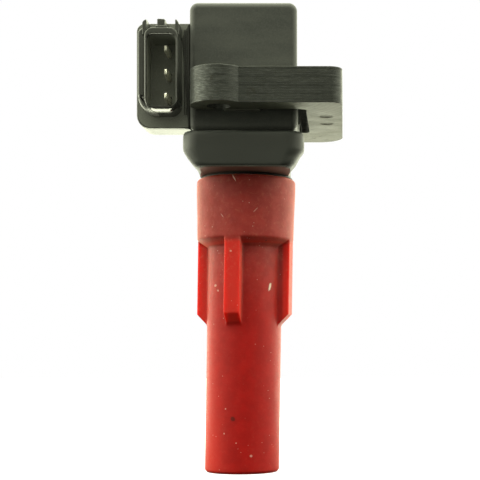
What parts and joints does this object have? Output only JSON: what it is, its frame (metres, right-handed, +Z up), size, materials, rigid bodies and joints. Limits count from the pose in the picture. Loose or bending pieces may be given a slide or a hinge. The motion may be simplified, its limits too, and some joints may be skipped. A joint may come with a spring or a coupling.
{
  "type": "ignition coil",
  "caption": "Coil-on-plug ignition coil: laminated open core round a moulded winding case, side connector, ribbed silicone boot and sprung plug contact.",
  "frame": {"origin": "centre of the flat underside of the sprung plug contact, on the boot's axis, at rest", "axes": "+Z up along the boot axis towards the winding case, -Y the way the connector opens, +X towards the core's outer leg"},
  "size_m": [0.0546, 0.0585, 0.1256],
  "materials": {
    "case_plastic": "moulded dark grey-green glass-filled plastic, satin",
    "block_plastic": "moulded near-black glass-filled plastic, satin",
    "connector_plastic": "moulded dark grey plastic, satin",
    "epoxy_resin": "poured black resin, glossy and slightly uneven",
    "tinned_terminal": "tin-plated copper alloy, bright",
    "electronics_black": "moulded package, matte",
    "copper": "enamelled copper, semi-gloss",
    "copper_fine": "fine enamelled copper wire, semi-gloss",
    "capacitor_shell": "dipped film capacitor, gloss",
    "core_lamination": "stamped silicon-steel laminations, dark coated edges, bare greyish faces",
    "bare_lamination": "stacked silicon-steel strips, bare",
    "magnet": "ground magnet, dark grey",
    "bobbin_dark": "moulded plastic",
    "bobbin_light": "moulded natural plastic",
    "brass_terminal": "turned brass",
    "resistor_ceramic": "glazed wire-wound resistor body with metal caps",
    "spring_steel": "drawn stainless spring wire",
    "contact_metal": "nickel-plated brass cup",
    "red_silicone": "deep red silicone rubber, satin with faint dust"
  },
  "bodies": {
    "coil_body": {"upper_housing": "case_plastic", "potting_resin": "epoxy_resin", "tower_housing": "block_plastic", "connector_housing": "connector_plastic", "terminal_power": "tinned_terminal", "terminal_ground": "tinned_terminal", "terminal_signal": "tinned_terminal", "igniter_module": "electronics_black", "igniter_heat_spreader": "copper", "noise_capacitor": "capacitor_shell", "hv_diode": "electronics_black", "core_frame": "core_lamination", "core_bar": "bare_lamination", "core_magnet": "magnet", "primary_bobbin": "bobbin_dark", "primary_winding": "copper", "secondary_bobbin": "bobbin_light", "secondary_winding": "copper_fine", "primary_lead_start": "copper", "primary_lead_end": "copper", "hv_terminal": "brass_terminal", "noise_resistor": "resistor_ceramic", "contact_spring": "spring_steel"},
    "spark_plug_boot": {"boot": "red_silicone"},
    "sprung_contact": {"plug_contact": "contact_metal"}
  },
  "joints": [
    {"name": "contact_travel", "type": "slide", "parent": "coil_body", "child": "sprung_contact", "axis": [0, 0, 1], "range_m": [0, 0.005], "stiffness_N_per_m": 600, "deforming": ["contact_spring"]},
    {"name": "boot_pull_off", "type": "slide", "parent": "coil_body", "child": "spark_plug_boot", "axis": [0, 0, -1], "range_m": [0, 0.03]}
  ]
}
